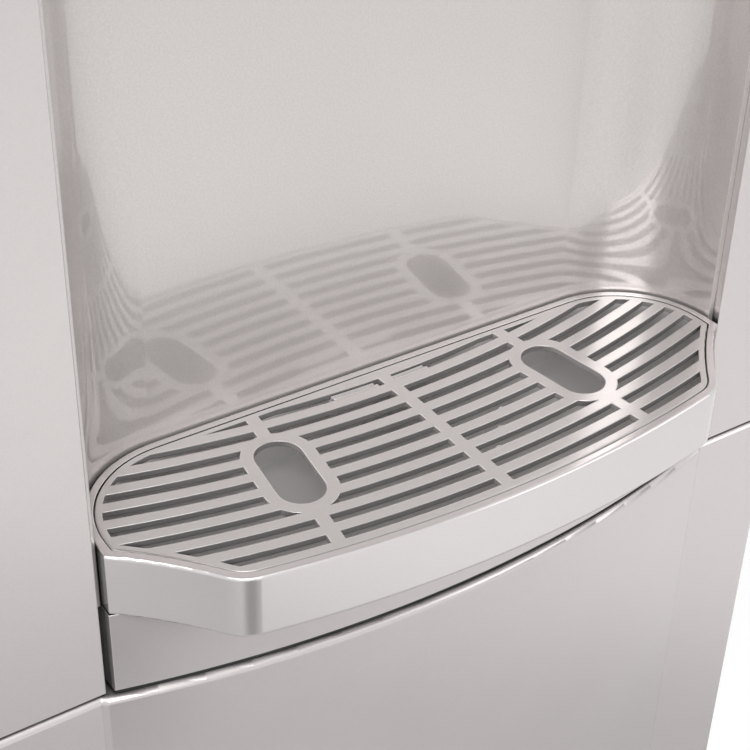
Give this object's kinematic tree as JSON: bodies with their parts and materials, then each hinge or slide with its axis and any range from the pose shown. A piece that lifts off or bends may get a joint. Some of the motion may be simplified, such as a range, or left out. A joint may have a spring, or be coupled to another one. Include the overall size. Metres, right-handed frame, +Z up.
{
  "type": "bottom load water cooler",
  "caption": "Free-standing water cooler with a bottle bay behind a bowed door, a dispensing niche, slotted drip tray and push buttons.",
  "frame": {"origin": "on the floor, under the middle of the outline", "axes": "+Z up, -Y out of the front where the spouts and door are, +X to the viewer's right when facing the front"},
  "size_m": [0.31, 0.3722, 1.045],
  "materials": {
    "silver_paint": "pale warm silver, satin metallic paint on moulded plastic",
    "grille_paint": "silver satin paint on moulded plastic",
    "cabinet_paint": "pale silver powder coat",
    "niche_steel": "satin steel, fine vertical grain",
    "plain_steel": "galvanised sheet",
    "zinc_steel": "zinc plated steel",
    "magnet": "bonded magnet",
    "grey_plastic": "mid grey moulded plastic",
    "dark_plastic": "black moulded plastic",
    "light_plastic": "natural food grade plastic",
    "panel_gloss": "gloss charcoal insert",
    "button_plastic": "satin silver plastic",
    "lens": "frosted clear plastic",
    "rubber": "black rubber",
    "hose": "translucent silicone",
    "foam": "moulded insulation",
    "tank_steel": "drawn stainless steel",
    "copper": "copper tube",
    "black_enamel": "black enamel",
    "pump_body": "dark moulded plastic",
    "board": "green circuit board"
  },
  "bodies": {
    "cabinet": {"back_panel": "plain_steel", "back_panel_screws": "zinc_steel", "band_heater": "tank_steel", "base_pan": "plain_steel", "bottle_platform": "grey_plastic", "cold_tank": "tank_steel", "cold_tank_foam": "foam", "compressor": "black_enamel", "compressor_grommets": "rubber", "condenser": "black_enamel", "control_board": "board", "control_panel": "panel_gloss", "dip_tube": "light_plastic", "door_magnet": "magnet", "drain_outlet": "light_plastic", "evaporator_coil": "copper", "filter_drier": "copper", "front_rail": "plain_steel", "head_shell": "silver_paint", "hinge_brackets": "zinc_steel", "hot_tank": "tank_steel", "hot_tank_lagging": "foam", "indicator_lenses": "lens", "left_pillar": "silver_paint", "left_side_panel": "cabinet_paint", "mid_deck": "plain_steel", "niche_liner": "niche_steel", "night_light_lens": "lens", "power_inlet": "dark_plastic", "probe_cap": "light_plastic", "probe_hanger": "plain_steel", "probe_hoses": "hose", "refrigerant_pipes": "copper", "right_pillar": "silver_paint", "right_side_panel": "cabinet_paint", "rubber_feet": "rubber", "solenoid_valves": "pump_body", "spout_panel": "grey_plastic", "spouts": "button_plastic", "switch_frames": "dark_plastic", "tank_shelf": "plain_steel", "thermostats": "pump_body", "top_cover": "cabinet_paint", "tray_shelf": "silver_paint", "water_pump": "pump_body", "water_tubes": "hose"},
    "door": {"door_skin": "silver_paint", "door_liner": "grey_plastic", "hinge_bushes": "light_plastic", "strike_plate": "zinc_steel"},
    "tray": {"tray_bezel": "silver_paint", "drip_tray": "grey_plastic"},
    "grille": {"drip_grille": "grille_paint"},
    "hot_key": {"hot_button": "button_plastic"},
    "room_key": {"room_button": "button_plastic"},
    "cold_key": {"cold_button": "button_plastic"},
    "lock_key": {"child_lock": "button_plastic"},
    "heating_rocker": {"heating_switch": "dark_plastic"},
    "cooling_rocker": {"cooling_switch": "dark_plastic"},
    "drain_stopper": {"drain_plug": "rubber"}
  },
  "joints": [
    {"name": "door_hinge", "type": "hinge", "parent": "cabinet", "child": "door", "pos_m": [0.143, -0.13182, 0.0435], "axis": [0, 0, 1], "range_deg": [0, 110]},
    {"name": "tray_slide", "type": "slide", "parent": "cabinet", "child": "tray", "axis": [0, -1, 0], "range_m": [0, 0.115]},
    {"name": "grille_lift", "type": "slide", "parent": "tray", "child": "grille", "axis": [0, 0, 1], "range_m": [0, 0.04]},
    {"name": "hot_press", "type": "slide", "parent": "cabinet", "child": "hot_key", "axis": [0, 1, 0], "range_m": [0, 0.003], "stiffness_N_per_m": 400, "springref_m": -0.002},
    {"name": "room_press", "type": "slide", "parent": "cabinet", "child": "room_key", "axis": [0, 1, 0], "range_m": [0, 0.003], "stiffness_N_per_m": 400, "springref_m": -0.002},
    {"name": "cold_press", "type": "slide", "parent": "cabinet", "child": "cold_key", "axis": [0, 1, 0], "range_m": [0, 0.003], "stiffness_N_per_m": 400, "springref_m": -0.002},
    {"name": "lock_slide", "type": "slide", "parent": "cabinet", "child": "lock_key", "axis": [1, 0, 0], "range_m": [0, 0.007]},
    {"name": "heating_rock", "type": "hinge", "parent": "cabinet", "child": "heating_rocker", "pos_m": [0.13, 0.16417, 0.925], "axis": [1, 0, 0], "range_deg": [-16, 0]},
    {"name": "cooling_rock", "type": "hinge", "parent": "cabinet", "child": "cooling_rocker", "pos_m": [0.13, 0.16417, 0.885], "axis": [1, 0, 0], "range_deg": [-16, 0]},
    {"name": "plug_pull", "type": "slide", "parent": "cabinet", "child": "drain_stopper", "axis": [0, 1, 0], "range_m": [0, 0.025]}
  ]
}
